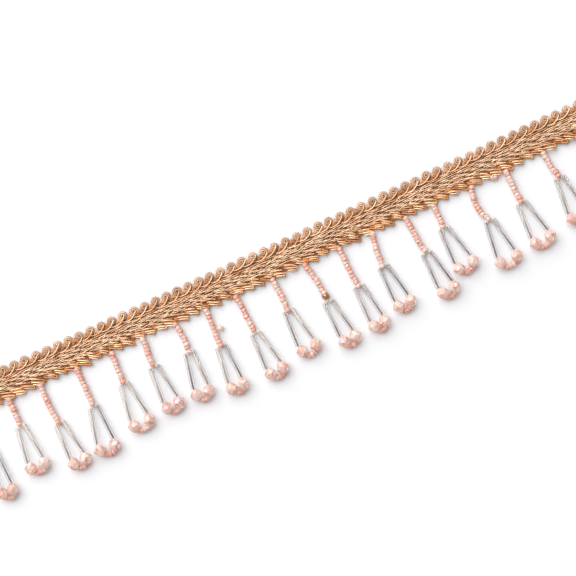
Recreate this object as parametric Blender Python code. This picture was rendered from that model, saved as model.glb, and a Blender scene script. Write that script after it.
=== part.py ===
"""Beaded fringe trim: a straight cut length of gimp braid with twenty beaded drops, lying flat.

+X runs along the braid, +Y across it from the drops to the upper edge, +Z up from the surface it lies on.
The origin is the middle of the trim's outline, on the surface. Metres.
"""

import math

import bmesh
import bpy
from mathutils import Matrix, Vector

MM = 0.001

# ---- driving sizes, in millimetres -------------------------------------------------------------------
BRAID_LENGTH = 240.0
BRAID_WIDTH = 11.2
BRAID_THICKNESS = 2.0
GROOVE_RADIUS = 0.4  # of the two grooves that part the braid's edges from its middle rows
GROOVE_OFFSETS = (2.6, -2.8)  # from the middle line, across the braid
GROOVE_STATIONS = 12
BRAID_BOW = 0.9  # how far the two ends rise above the middle, because the braid lies slightly curved
SCALLOPS = 62  # repeats along the braid
SCALLOP_PITCH = BRAID_LENGTH / SCALLOPS
LOOP_RADIUS = 1.25  # yarn loops of the upper edge
LEAF_DEPTH = 1.1  # slanting loops of the lower edge
LEAF_TIP_SHIFT = -0.45  # where a leaf has its tip, from the middle of its repeat

SEED_RADIUS = 0.9
SEED_LENGTH = 1.3
BUGLE_RADIUS = 0.9
BUGLE_LENGTH = 12.0
CRYSTAL_RADIUS = 2.0
CRYSTAL_FLAT = 0.12  # how much of the crystal's lowest point the flat facet takes off
CRYSTAL_PULL = 0.6  # how far the link draws each crystal in from the line of its bugle
ARM_SPREAD = 1.25  # from the end of the strand sideways to the top of a bugle
ARM_DROP = 0.7  # from the end of the strand down to the top of a bugle
BUGLE_FOOT_RISE = 0.6  # a bugle's lower end is lifted by the crystal it leads to
LINK_SAG = 1.9  # how far the link's seed beads hang below the crystals' centres
THREAD_STEP = 0.15  # the right arm crosses over the left one at the fork by this much
GAP = 0.3  # clearance between the braid and each drop

LINK_START = 0.4  # the link leaves each crystal this far below its centre
LINK_RISE = 0.5  # and this far above the height of the seed beads
STRAND_STEPS = 4
LINK_STEPS = 5
TUBE_RESOLUTION = 1  # six sides, enough for a 1.8 mm bead strand

SURFACE_LIFT = SEED_RADIUS - 0.05  # height of a bead's axis, so that its underside is slightly flat

# One row for each drop, from -X to +X.
# at: where it leaves the braid; strand: length of seed beads; lean: how far the strand's end has moved
# towards +X; bend: how far its middle bulges towards +X; left, right: how far each bugle turns from
# straight down, in degrees, positive towards +X.
DROP_COLUMNS = ("at", "strand", "lean", "bend", "left", "right")
DROP_ROWS = (
    (-112.7, 12.3, -0.2, 0.2, -7.0, 2.0),
    (-100.8, 8.7, -0.2, 0.0, -7.8, 6.0),
    (-89.7, 12.9, 0.5, -0.3, -1.8, 10.0),
    (-76.8, 12.6, -0.2, 0.1, -13.0, 2.5),
    (-64.4, 9.9, -0.5, 0.1, -7.9, 8.6),
    (-53.3, 8.8, -0.5, -0.1, -3.6, 8.7),
    (-41.6, 9.2, 0.2, 0.4, -12.2, 0.0),
    (-30.7, 11.8, -0.5, -0.1, -8.0, 3.3),
    (-20.0, 12.6, 0.7, 0.0, -1.8, 11.5),
    (-7.1, 10.3, 0.4, 0.3, -2.6, 12.0),
    (4.5, 13.1, 1.8, 0.5, 0.0, 11.3),
    (17.0, 12.7, 0.4, -0.4, -0.9, 9.3),
    (28.5, 10.3, -1.2, -0.3, -0.9, 11.1),
    (40.5, 12.3, 1.4, -0.3, 0.0, 11.8),
    (50.3, 7.4, 0.0, 0.1, -1.6, 14.2),
    (63.9, 11.5, 0.9, -1.4, -8.0, 10.3),
    (76.2, 10.6, 0.4, 0.1, -3.5, 13.4),
    (89.9, 8.5, 1.4, -0.3, -6.0, 8.0),
    (102.1, 9.8, -0.3, 0.3, -5.0, 9.0),
    (113.9, 11.4, 0.4, -0.2, -8.0, 4.0),
)
DROPS = [dict(zip(DROP_COLUMNS, row)) for row in DROP_ROWS]

# Each finish: base colour, roughness, metallic.
FINISHES = {
    "metallic_yarn": ((0.62, 0.36, 0.20), 0.42, 0.7),
    "beads": ((0.86, 0.48, 0.38), 0.25, 0.1),
}


# ---- scene helpers -------------------------------------------------------------------------------------
def clear_scene():
    for obj in list(bpy.data.objects):
        bpy.data.objects.remove(obj)


def new_collection(name):
    collection = bpy.data.collections.new(name)
    bpy.context.scene.collection.children.link(collection)
    return collection


def finish(name, node):
    """A Principled material of its own for one node."""
    colour, roughness, metallic = FINISHES[name]
    material = bpy.data.materials.new(f"{name}_{node}")
    material.use_nodes = True
    shader = material.node_tree.nodes["Principled BSDF"]
    shader.inputs["Base Color"].default_value = (*colour, 1.0)
    shader.inputs["Roughness"].default_value = roughness
    shader.inputs["Metallic"].default_value = metallic
    return material


def as_guide(obj):
    obj.hide_render = True
    obj.display_type = "WIRE"


def mesh_from_curve(curve_object, collection):
    """Turn a curve object into a welded mesh object, and remove the curve."""
    depsgraph = bpy.context.evaluated_depsgraph_get()
    mesh = bpy.data.meshes.new_from_object(curve_object.evaluated_get(depsgraph))
    name = curve_object.name
    bm = bmesh.new()
    bm.from_mesh(mesh)
    bmesh.ops.remove_doubles(bm, verts=bm.verts, dist=0.00001)
    bmesh.ops.recalc_face_normals(bm, faces=bm.faces)
    bm.to_mesh(mesh)
    bm.free()
    placed = curve_object.matrix_world.copy()
    bpy.data.objects.remove(curve_object)
    mesh_object = bpy.data.objects.new(name, mesh)
    mesh_object.matrix_world = placed
    collection.objects.link(mesh_object)
    return mesh_object


def rest_on_surface(mesh):
    """Flatten what would reach below the surface the trim lies on."""
    for vertex in mesh.vertices:
        vertex.co.z = max(vertex.co.z, 0.0)


# ---- the braid -----------------------------------------------------------------------------------------
def braid_middle(x):
    """Height of the braid's middle line across the trim, before the origin is centred, in millimetres."""
    return BRAID_BOW * (2.0 * x / BRAID_LENGTH) ** 2


def upper_edge():
    """One round loop for each repeat, joined by the shoulders between them."""
    shoulder = BRAID_WIDTH / 2 - LOOP_RADIUS
    points = []
    for repeat in range(SCALLOPS):
        middle = -BRAID_LENGTH / 2 + (repeat + 0.5) * SCALLOP_PITCH
        for angle in map(math.radians, (178.0, 125.0, 55.0, 2.0)):
            x = middle + LOOP_RADIUS * math.cos(angle)
            points.append((x, braid_middle(x) + shoulder + LOOP_RADIUS * math.sin(angle)))
    return points


def lower_edge():
    """One slanting leaf for each repeat: a long side down to the tip and a short side back up."""
    root = -BRAID_WIDTH / 2 + LEAF_DEPTH
    points = []
    for repeat in range(SCALLOPS):
        middle = -BRAID_LENGTH / 2 + (repeat + 0.5) * SCALLOP_PITCH
        tip = middle + LEAF_TIP_SHIFT
        for along, depth in ((tip - 2.3, 0.2), (tip - 0.4, 1.0), (tip + 0.4, 0.8)):
            x = max(along, -BRAID_LENGTH / 2)
            points.append((x, braid_middle(x) + root - LEAF_DEPTH * depth))
    return points


def build_braid(collection, guides):
    top = upper_edge()
    bottom = lower_edge()
    ends = []
    for x, side in ((-BRAID_LENGTH / 2, -1), (BRAID_LENGTH / 2, 1)):
        low = (x, braid_middle(x) - BRAID_WIDTH / 2 + LEAF_DEPTH)
        high = (x, braid_middle(x) + BRAID_WIDTH / 2 - LOOP_RADIUS)
        ends.append((low, high) if side < 0 else (high, low))
    outline = [ends[0][0], ends[0][1], *top, *ends[1], *reversed(bottom)]
    curve = bpy.data.curves.new("braid_outline", "CURVE")
    curve.dimensions = "2D"
    curve.fill_mode = "BOTH"
    curve.extrude = BRAID_THICKNESS / 2 * MM
    spline = curve.splines.new("POLY")
    spline.points.add(len(outline) - 1)
    for point, (x, y) in zip(spline.points, outline):
        point.co = (x * MM, y * MM, 0.0, 1.0)
    spline.use_cyclic_u = True
    sheet = bpy.data.objects.new("braid", curve)
    sheet.location.z = BRAID_THICKNESS / 2 * MM
    collection.objects.link(sheet)
    bpy.context.view_layer.update()
    braid = mesh_from_curve(sheet, collection)
    for number, offset in enumerate(GROOVE_OFFSETS, start=1):
        reach = BRAID_LENGTH / 2 + 2.0
        stations = [-reach + 2 * reach * step / GROOVE_STATIONS for step in range(GROOVE_STATIONS + 1)]
        route = [(x, braid_middle(x) + offset, BRAID_THICKNESS) for x in stations]
        groove = tube(f"braid_groove_{number}", route, GROOVE_RADIUS, guides)
        as_guide(groove)
        cut = braid.modifiers.new(groove.name, "BOOLEAN")
        cut.operation = "DIFFERENCE"
        cut.object = groove
    braid.data.materials.append(finish("metallic_yarn", "braid"))
    return braid


# ---- the drops -----------------------------------------------------------------------------------------
def tube(name, points, radius, collection):
    """A capped tube through points, in millimetres, as a mesh object."""
    curve = bpy.data.curves.new(name, "CURVE")
    curve.dimensions = "3D"
    curve.bevel_depth = radius * MM
    curve.bevel_resolution = TUBE_RESOLUTION
    curve.use_fill_caps = True
    spline = curve.splines.new("POLY")
    spline.points.add(len(points) - 1)
    for point, place in zip(spline.points, points):
        point.co = (*(Vector(place) * MM), 1.0)
    curve_object = bpy.data.objects.new(name, curve)
    collection.objects.link(curve_object)
    bpy.context.view_layer.update()
    tube_object = mesh_from_curve(curve_object, collection)
    rest_on_surface(tube_object.data)
    return tube_object


def crystal(name, centre, collection):
    """A cut glass bead with a flat facet where it rests."""
    bm = bmesh.new()
    bmesh.ops.create_uvsphere(
        bm,
        u_segments=8,
        v_segments=4,
        radius=CRYSTAL_RADIUS * MM,
        matrix=Matrix.Translation(Vector(centre) * MM),
    )
    mesh = bpy.data.meshes.new(name)
    bm.to_mesh(mesh)
    bm.free()
    rest_on_surface(mesh)
    crystal_object = bpy.data.objects.new(name, mesh)
    collection.objects.link(crystal_object)
    return crystal_object


def strand_points(drop):
    """The strand of seed beads, from just below the braid to the fork, with its lean and bend."""
    x0 = drop["at"]
    y0 = braid_middle(x0) - BRAID_WIDTH / 2 - GAP
    points = []
    for step in range(STRAND_STEPS + 1):
        t = step / STRAND_STEPS
        x = x0 + drop["lean"] * t + drop["bend"] * math.sin(math.pi * t)
        points.append((x, y0 - drop["strand"] * t, SURFACE_LIFT))
    return points


def arm_points(fork, side, turn):
    """One bugle: the top beside the fork, the foot, and the centre of its crystal."""
    angle = math.radians(turn)
    top = Vector((fork[0] + side * ARM_SPREAD, fork[1] - ARM_DROP, SURFACE_LIFT))
    foot = top + BUGLE_LENGTH * Vector((math.sin(angle), -math.cos(angle), 0.0))
    foot.z += BUGLE_FOOT_RISE
    centre = foot + CRYSTAL_RADIUS * Vector((math.sin(angle), -math.cos(angle), 0.0))
    centre.x -= side * CRYSTAL_PULL
    centre.z = CRYSTAL_RADIUS - CRYSTAL_FLAT
    return top, foot, centre


def link_points(left, right):
    """The link of seed beads that hangs between the two crystals, as a half turn with flat ends."""
    points = []
    for step in range(LINK_STEPS + 1):
        angle = math.pi * step / LINK_STEPS
        across = (1.0 - math.cos(angle)) / 2.0
        place = left.lerp(right, across)
        place.y -= LINK_SAG * math.sin(angle) + LINK_START
        place.z = SURFACE_LIFT + LINK_RISE * (1.0 - math.sin(angle))
        points.append(place)
    return points


def build_drop(number, drop, collection, guides):
    """One drop: its strand joined with two arms, two crystals and the link between them."""
    name = f"drop_{number:02d}"
    strand = strand_points(drop)
    body = tube(name, strand, SEED_RADIUS, collection)
    fork = Vector(strand[-1])
    left_top, left_foot, left_crystal = arm_points(fork, -1, drop["left"])
    right_top, right_foot, right_crystal = arm_points(fork, 1, drop["right"])
    crown = fork + Vector((0.0, SEED_LENGTH / 2, 0.0))
    crossing = fork + Vector((0.0, SEED_LENGTH / 4, THREAD_STEP))
    pieces = [
        tube(f"{name}_left_arm", [crown, left_top, left_foot, left_crystal], BUGLE_RADIUS, guides),
        tube(f"{name}_right_arm", [crossing, right_top, right_foot, right_crystal], BUGLE_RADIUS, guides),
        tube(f"{name}_link", link_points(left_crystal, right_crystal), SEED_RADIUS, guides),
        crystal(f"{name}_left_crystal", left_crystal, guides),
        crystal(f"{name}_right_crystal", right_crystal, guides),
    ]
    for piece in pieces:
        as_guide(piece)
        union = body.modifiers.new(piece.name, "BOOLEAN")
        union.operation = "UNION"
        union.object = piece
    body.data.materials.append(finish("beads", name))
    return body


# ---- the whole trim ------------------------------------------------------------------------------------
def centre_origin(objects, collection):
    """Hang every piece on one empty that puts the origin under the middle of the outline."""
    depsgraph = bpy.context.evaluated_depsgraph_get()
    corners = []
    for obj in objects:
        evaluated = obj.evaluated_get(depsgraph)
        corners += [evaluated.matrix_world @ Vector(corner) for corner in evaluated.bound_box]
    low = Vector(min(corner[axis] for corner in corners) for axis in range(3))
    high = Vector(max(corner[axis] for corner in corners) for axis in range(3))
    origin = bpy.data.objects.new("trim_origin", None)
    collection.objects.link(origin)
    origin.location = (-(low.x + high.x) / 2, -(low.y + high.y) / 2, -low.z)
    return origin


def main():
    clear_scene()
    trim = new_collection("beaded_fringe_trim")
    guides = new_collection("union_pieces")
    pieces = [build_braid(trim, guides)]
    for number, drop in enumerate(DROPS, start=1):
        pieces.append(build_drop(number, drop, trim, guides))
    bpy.context.view_layer.update()
    origin = centre_origin(pieces, trim)
    for obj in [*pieces, *guides.objects]:
        obj.parent = origin
    bpy.context.view_layer.update()
    print("pieces", len(pieces), "origin moved by", tuple(round(v / MM, 3) for v in origin.location))


main()
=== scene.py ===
# %% [markdown]
# # Beaded fringe trim
# A straight cut length of trimming lies flat on a pale table. Its heading is a narrow gimp braid of copper
# and rose-gold metallic yarn, and twenty beaded drops are sewn into the lower edge. Every size below is in
# millimetres and is scaled once, when a mesh is made.

# %% Load the fixed frame
import math
import random

import bmesh
import bpy
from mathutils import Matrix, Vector


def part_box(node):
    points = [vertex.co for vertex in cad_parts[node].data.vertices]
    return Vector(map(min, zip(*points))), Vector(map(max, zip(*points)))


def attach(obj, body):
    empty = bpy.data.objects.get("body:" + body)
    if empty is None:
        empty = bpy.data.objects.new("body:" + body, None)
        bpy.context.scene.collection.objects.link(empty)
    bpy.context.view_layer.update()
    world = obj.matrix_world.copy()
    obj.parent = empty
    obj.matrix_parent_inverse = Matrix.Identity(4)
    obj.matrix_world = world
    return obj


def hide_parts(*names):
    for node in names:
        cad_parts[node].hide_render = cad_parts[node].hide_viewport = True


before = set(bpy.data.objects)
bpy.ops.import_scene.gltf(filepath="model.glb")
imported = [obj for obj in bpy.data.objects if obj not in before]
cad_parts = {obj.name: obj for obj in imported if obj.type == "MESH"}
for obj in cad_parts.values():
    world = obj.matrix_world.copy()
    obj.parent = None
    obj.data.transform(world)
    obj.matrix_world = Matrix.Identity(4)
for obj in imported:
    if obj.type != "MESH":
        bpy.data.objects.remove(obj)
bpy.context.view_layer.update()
MM = 0.001
DROP_NODES = sorted(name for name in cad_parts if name.startswith("drop_"))


def show(name, data):
    """A new object in the scene that holds this mesh, curve, camera or lamp."""
    obj = bpy.data.objects.new(name, data)
    bpy.context.scene.collection.objects.link(obj)
    return obj


# %% [markdown]
# ## The trim's own measures
# The braid is a little curved where it lies, so everything on it is placed from one middle line. The frame
# says where that line is: the lowest leaf tip is half the braid's width below it.

# %% Sizes of the braid and the line that it follows
BRAID_LENGTH = 240.0
BRAID_WIDTH = 11.2
BRAID_BOW = 0.9
REPEATS = 62
PITCH = BRAID_LENGTH / REPEATS
FIRST_REPEAT = -BRAID_LENGTH / 2 + PITCH / 2
braid_low, braid_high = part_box("braid")
MIDDLE = braid_low.y / MM + BRAID_WIDTH / 2


def middle_line(x):
    """The braid's middle line at x, both in millimetres."""
    return MIDDLE + BRAID_BOW * (2.0 * x / BRAID_LENGTH) ** 2


print(f"{REPEATS} repeats of {PITCH:.2f} mm, middle line at y = {MIDDLE:.2f} mm")

# %% [markdown]
# ## The camera
# The trim is seen from straight above and lies aslant in the view, rising to the right. A long lens keeps
# the view almost free of perspective, and the camera is turned about its own axis instead of the trim.

# %% Camera straight above the trim
VIEW_WIDTH = 187.0
VIEW_TURN = math.radians(-24.78)
VIEW_CENTRE = (-3.6, MIDDLE - 9.7)
LENS = 100.0
SENSOR = 36.0

camera_data = bpy.data.cameras.new("camera")
camera_data.lens = LENS
camera_data.sensor_width = SENSOR
camera = show("camera", camera_data)
camera.location = (VIEW_CENTRE[0] * MM, VIEW_CENTRE[1] * MM, VIEW_WIDTH * MM * LENS / SENSOR)
camera.rotation_euler = (0.0, 0.0, VIEW_TURN)
bpy.context.scene.camera = camera
print("camera height in mm:", round(camera.location.z / MM, 1))

# %% [markdown]
# ## Node trees written as expressions
# Materials and Geometry Nodes are both node trees. `Socket` lets their numbers be added and multiplied like
# ordinary values, and `Board.node` makes every other node: its settings first, then its inputs.


# %% Helpers for node trees
class Socket:
    """An output socket whose arithmetic adds Math nodes to its tree."""

    def __init__(self, board, socket):
        self.board = board
        self.socket = socket

    def __add__(self, other):
        return self.board.math("ADD", self, other)

    def __sub__(self, other):
        return self.board.math("SUBTRACT", self, other)

    def __mul__(self, other):
        return self.board.math("MULTIPLY", self, other)

    def __truediv__(self, other):
        return self.board.math("DIVIDE", self, other)

    def __pow__(self, other):
        return self.board.math("POWER", self, other)

    def __rsub__(self, other):
        return self.board.math("SUBTRACT", other, self)

    __radd__ = __add__
    __rmul__ = __mul__


class Made:
    """A node whose outputs are read by name or number."""

    def __init__(self, board, node):
        self.board = board
        self.node = node

    def __getitem__(self, key):
        return Socket(self.board, pick(self.node.outputs, key))


def pick(sockets, key):
    """The socket with this number, or the first one in use with this name."""
    if isinstance(key, int):
        return sockets[key]
    return next(socket for socket in sockets if socket.name == key and socket.enabled)


class Board:
    """One node tree and the single method that adds nodes to it."""

    def __init__(self, tree):
        self.tree = tree

    def node(self, kind, settings=None, inputs=None):
        node = self.tree.nodes.new(kind)
        for name, value in (settings or {}).items():
            if name == "stops":
                self.set_stops(node.color_ramp, value)
            else:
                setattr(node, name, value)
        for key, value in (inputs or {}).items():
            self.feed(pick(node.inputs, key), value)
        return Made(self, node)

    def feed(self, socket, value):
        if isinstance(value, Socket):
            self.tree.links.new(value.socket, socket)
        else:
            socket.default_value = value

    def set_stops(self, ramp, stops):
        while len(ramp.elements) < len(stops):
            ramp.elements.new(1.0)
        for element, (position, colour) in zip(ramp.elements, stops):
            element.position = position
            element.color = (*colour, 1.0)

    def math(self, operation, first, second=0.0):
        made = self.node("ShaderNodeMath", {"operation": operation}, {0: first, 1: second})
        return made[0]

    def mix(self, factor, first, second):
        """A colour between two colours."""
        settings = {"data_type": "RGBA"}
        inputs = {"Factor": factor, "A": first, "B": second}
        return self.node("ShaderNodeMix", settings, inputs)["Result"]

    def attribute(self, name):
        return self.node("ShaderNodeAttribute", {"attribute_name": name})["Fac"]

    def noise(self, scale, detail=2.0):
        """Noise on the piece's own coordinates, which are in metres."""
        place = self.node("ShaderNodeTexCoord")["Object"]
        inputs = {"Vector": place, "Scale": scale, "Detail": detail}
        return self.node("ShaderNodeTexNoise", None, inputs)["Fac"]

    def stretch(self, value, low, high):
        """Map low to 0 and high to 1, and stop there."""
        inputs = {"Value": value, "From Min": low, "From Max": high}
        return self.node("ShaderNodeMapRange", None, inputs)["Result"]

    def bump(self, strength, distance, height):
        inputs = {"Strength": strength, "Distance": distance * MM, "Height": height}
        return self.node("ShaderNodeBump", None, inputs)["Normal"]

    def rings(self, along, spacing):
        """A sine wave with this spacing in millimetres."""
        return self.math("SINE", along * (2.0 * math.pi / (spacing * MM)))


def rgb(red, green, blue):
    return (red, green, blue, 1.0)


# %% [markdown]
# ## Finishes
# The gimp yarn is a soft core wound with metallic thread, so it glints, and its winding shows as fine rings
# around each cord. Each cord carries two attributes: `along`, its distance from the cord's start, for the
# rings, and `shade`, which says how bright that cord is painted in the braid. In the gimp finishes `shade` is
# mostly painted light: cords that lie low or in gaps get a dark painted shade and cords on top a pale painted
# highlight, with a little random tone between copies. The glint is partly the metal and partly a painted glint
# colour.


# %% A new material and its shader
def new_finish(name, **constants):
    """A material, its board, and its Principled shader with the constant sockets set."""
    material = bpy.data.materials.new(name)
    material.use_nodes = True
    board = Board(material.node_tree)
    shader = material.node_tree.nodes["Principled BSDF"]
    for socket_name, value in constants.items():
        shader.inputs[socket_name.replace("_", " ")].default_value = value
    return material, board, shader


# %% Metallic gimp yarn
WINDING = 0.20
PATCH_SCALE = 420.0
FIBRE_SCALE = 3200.0
# The darkest gimp colour is painted shade and the palest is a painted glint; the middle one is the yarn's own
# copper.
PAINTED_SHADE_COPPER = rgb(0.27, 0.09, 0.02)
COPPER = rgb(0.60, 0.29, 0.13)
PAINTED_GLINT_PEACH = rgb(1.0, 0.74, 0.52)


def gimp_finish(name, painted_shade, body, painted_glint):
    """Painted shade colour where a cord's shade is low, the yarn's body colour between, painted glint colour
    where it is high.
    """
    material, board, shader = new_finish(name, Metallic=0.55)
    # Noise patches vary the tone at random, and fine fibre noise adds specks of painted glint and the
    # winding's bump.
    patches = board.noise(PATCH_SCALE, 3.0)
    fibres = board.noise(FIBRE_SCALE)
    painted_light_and_tone = board.attribute("shade") + (patches - 0.5) * 0.5 + (fibres - 0.5) * 0.3
    lower = board.mix(board.stretch(painted_light_and_tone, 0.05, 0.5), painted_shade, body)
    board.feed(shader.inputs["Base Color"], board.mix(board.stretch(painted_light_and_tone, 0.5, 0.95), lower, painted_glint))
    board.feed(shader.inputs["Roughness"], 0.52 - patches * 0.3)
    relief = board.rings(board.attribute("along"), WINDING) * 0.5 + fibres
    board.feed(shader.inputs["Normal"], board.bump(0.5, 0.06, relief))
    return material


# Each gimp finish gets a painted shade colour, a body colour and a painted glint colour, in that order.
gimp = gimp_finish("metallic_gimp", PAINTED_SHADE_COPPER, COPPER, PAINTED_GLINT_PEACH)
copper_gimp = gimp_finish("copper_gimp", rgb(0.30, 0.085, 0.015), rgb(0.62, 0.29, 0.12), rgb(1.0, 0.71, 0.46))
wound = gimp_finish("wound_yarn", rgb(0.34, 0.18, 0.09), rgb(0.55, 0.35, 0.23), rgb(0.82, 0.61, 0.45))
print("yarn finishes:", gimp.name, copper_gimp.name, wound.name)

# %% Woven ground of the braid, painted dark as shade
WEFT, WARP = 0.6, 0.5


def painted_shade_ground_finish():
    material, board, shader = new_finish("woven_ground_painted_shade", Metallic=0.3, Roughness=0.6)
    place = board.node("ShaderNodeTexCoord")["Object"]
    axes = board.node("ShaderNodeSeparateXYZ", None, {0: place})
    weave = board.rings(axes["X"], WEFT) * board.rings(axes["Y"], WARP)
    amount = board.stretch(weave * 0.5 + board.noise(900.0), 0.0, 1.4)
    # The tape's two browns are dark painted shade, as it shows only in the gaps between cords; the weave is
    # its own pattern.
    board.feed(shader.inputs["Base Color"], board.mix(amount, rgb(0.15, 0.055, 0.015), rgb(0.42, 0.19, 0.075)))
    board.feed(shader.inputs["Normal"], board.bump(0.6, 0.1, weave))
    return material


ground = painted_shade_ground_finish()
print("ground finish:", ground.name)


# %% Glass of the beads
def seed_finish():
    """Silver-lined glass with a pink body: the lining's sparkle is a pale painted glint in noise spots, which
    are also more metallic and smoother.
    """
    constants = {"Coat_Weight": 0.05, "Coat_Roughness": 0.3, "IOR": 1.4}
    constants.update({"Transmission_Weight": 0.45, "Alpha": 0.92})
    material, board, shader = new_finish("seed_glass", **constants)
    place = board.node("ShaderNodeTexCoord")["Object"]
    cells = board.node("ShaderNodeTexVoronoi", None, {"Vector": place, "Scale": 1900.0})
    painted_sparkle = board.stretch(board.noise(1500.0), 0.50, 0.68)
    body = board.mix(board.attribute("shade"), rgb(0.95, 0.45, 0.33), rgb(1.0, 0.79, 0.70))
    board.feed(shader.inputs["Base Color"], board.mix(painted_sparkle, body, rgb(1.0, 0.82, 0.75)))
    board.feed(shader.inputs["Metallic"], painted_sparkle * 0.4 + 0.05)
    board.feed(shader.inputs["Roughness"], 0.62 - painted_sparkle * 0.2)
    board.feed(shader.inputs["Normal"], board.bump(0.35, 0.2, cells["Distance"]))
    return material


def bugle_finish():
    """Clear glass, faintly clouded."""
    constants = {"Transmission_Weight": 1.0, "IOR": 1.33, "Roughness": 0.08, "Alpha": 0.42}
    material, board, shader = new_finish("clear_glass", **constants)
    tint = board.mix(board.noise(350.0), rgb(0.89, 0.85, 0.83), rgb(0.97, 0.95, 0.93))
    board.feed(shader.inputs["Base Color"], tint)
    return material


def lining_finish():
    """The bore's lining: smoky grey in some tubes and beige in others."""
    material, board, shader = new_finish("lined_bore", Metallic=0.4, Roughness=0.35)
    shade = board.math("MAXIMUM", board.attribute("shade"), 0.0)
    amount = board.math("POWER", shade, 1.6) + (board.noise(700.0) - 0.5) * 0.3
    board.feed(shader.inputs["Base Color"], board.mix(amount, rgb(0.25, 0.21, 0.215), rgb(0.72, 0.62, 0.53)))
    return material


# Painted facet light: deep pink painted shade up to painted flashes of white, gold and lilac.
PAINTED_FACET_LIGHT = [
    (0.0, (0.74, 0.30, 0.25)),
    (0.16, (0.94, 0.54, 0.44)),
    (0.4, (1.0, 0.70, 0.59)),
    (0.78, (1.0, 0.84, 0.75)),
    (0.88, (1.0, 0.90, 0.72)),
    (0.92, (0.88, 0.74, 0.92)),
    (0.96, (1.0, 0.99, 0.97)),
]


def crystal_finish():
    """Peach cut glass with a rainbow coat. Each facet gets a random painted colour, from deep pink painted
    shade to painted flashes of white, gold and lilac.
    """
    constants = {"Coat_Weight": 0.4, "Coat_Roughness": 0.05, "IOR": 1.45}
    constants.update({"Transmission_Weight": 0.55, "Alpha": 0.86})
    material, board, shader = new_finish("crystal_glass", **constants)
    flash = board.attribute("flash")
    colour = board.node("ShaderNodeValToRGB", {"stops": PAINTED_FACET_LIGHT}, {"Fac": flash})["Color"]
    board.feed(shader.inputs["Base Color"], colour)
    board.feed(shader.inputs["Roughness"], 0.12 - flash * 0.08)
    return material


TWIST = 0.4


def thread_finish():
    material, board, shader = new_finish("cream_thread", Roughness=0.7)
    colour = board.mix(board.noise(2500.0), rgb(0.68, 0.53, 0.41), rgb(0.92, 0.80, 0.68))
    board.feed(shader.inputs["Base Color"], colour)
    board.feed(shader.inputs["Normal"], board.bump(0.5, 0.05, board.rings(board.attribute("along"), TWIST)))
    return material


seed_glass = seed_finish()
clear_glass = bugle_finish()
lined_bore = lining_finish()
crystal_glass = crystal_finish()
cream_thread = thread_finish()
glasses = (seed_glass, clear_glass, lined_bore, crystal_glass)
print("glass and thread:", [finish.name for finish in glasses], cream_thread.name)

# %% [markdown]
# ## Growing a piece with Geometry Nodes
# A tree is built once with named inputs and then used by several pieces. The tree runs on an empty host
# object, its result becomes a plain mesh, and the host goes away, so the finished piece carries no modifier.


# %% Helpers for Geometry Nodes
SOCKET_KINDS = {
    "object": "NodeSocketObject",
    "number": "NodeSocketFloat",
    "whole": "NodeSocketInt",
    "material": "NodeSocketMaterial",
}


def new_growth(name, inputs):
    """A geometry tree with named inputs: its board and a dictionary of the input sockets."""
    tree = bpy.data.node_groups.new(name, "GeometryNodeTree")
    for input_name, kind in inputs.items():
        tree.interface.new_socket(input_name, in_out="INPUT", socket_type=SOCKET_KINDS[kind])
    tree.interface.new_socket("Geometry", in_out="OUTPUT", socket_type="NodeSocketGeometry")
    board = Board(tree)
    given = board.node("NodeGroupInput")
    return board, {input_name: given[input_name] for input_name in inputs}


def finish_growth(board, geometry, material):
    """Realize the instances, give them their material and end the tree."""
    real = board.node("GeometryNodeRealizeInstances", None, {"Geometry": geometry})["Geometry"]
    dressed = board.node("GeometryNodeSetMaterial", None, {"Geometry": real, "Material": material})
    board.node("NodeGroupOutput", None, {"Geometry": dressed["Geometry"]})
    return board.tree


def grow(name, tree, values):
    """Run a tree with these input values and return its result as a plain mesh object."""
    host = show(name + "_host", bpy.data.meshes.new(name + "_host"))
    modifier = host.modifiers.new("growth", "NODES")
    modifier.node_group = tree
    for item in tree.interface.items_tree:
        if item.in_out == "INPUT" and item.name in values:
            modifier[item.identifier] = values[item.name]
    depsgraph = bpy.context.evaluated_depsgraph_get()
    mesh = bpy.data.meshes.new_from_object(host.evaluated_get(depsgraph))
    mesh.name = name
    bpy.data.objects.remove(host)
    return show(name, mesh)


def join(name, objects):
    """Join meshes that share one origin into a single object."""
    bpy.ops.object.select_all(action="DESELECT")
    for obj in objects:
        obj.select_set(True)
    merged = objects[0]
    bpy.context.view_layer.objects.active = merged
    bpy.ops.object.join()
    merged.name = merged.data.name = name
    return merged


def guide(name, routes):
    """A curve object with one polyline for each route of points in millimetres."""
    curve = bpy.data.curves.new(name, "CURVE")
    curve.dimensions = "3D"
    for route in routes:
        spline = curve.splines.new("POLY")
        spline.points.add(len(route) - 1)
        for point, place in zip(spline.points, route):
            point.co = (*(Vector(place) * MM), 1.0)
    return show(name, curve)


def smooth_route(points, per_span):
    """A smooth curve through the points, as a list of closer points."""
    points = [Vector(point) for point in points]
    padded = [points[0] * 2 - points[1], *points, points[-1] * 2 - points[-2]]
    route = []
    for before, start, end, after in zip(padded, padded[1:], padded[2:], padded[3:]):
        for step in range(per_span):
            t = step / per_span
            place = 2 * start + (end - before) * t
            place += (2 * before - 5 * start + 4 * end - after) * t**2
            place += (3 * start - before - 3 * end + after) * t**3
            route.append(place / 2)
    route.append(points[-1])
    return route


def triangles(obj):
    return sum(len(face.vertices) - 2 for face in obj.data.polygons)


# %% [markdown]
# ## One repeat, many times
# The braid's pattern is one repeat that comes back every few millimetres. A unit is drawn once as a guide
# curve. The tree sets it on the middle line at every repeat, a little uneven as handwork is, and sweeps a
# round cord along it.


# %% Tree: a cord swept along curves
def keep(board, geometry, name, value, domain):
    """Store a number on the geometry, for the materials to read."""
    settings = {"data_type": "FLOAT", "domain": domain}
    inputs = {"Geometry": geometry, "Name": name, "Value": value}
    return board.node("GeometryNodeStoreNamedAttribute", settings, inputs)["Geometry"]


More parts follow.
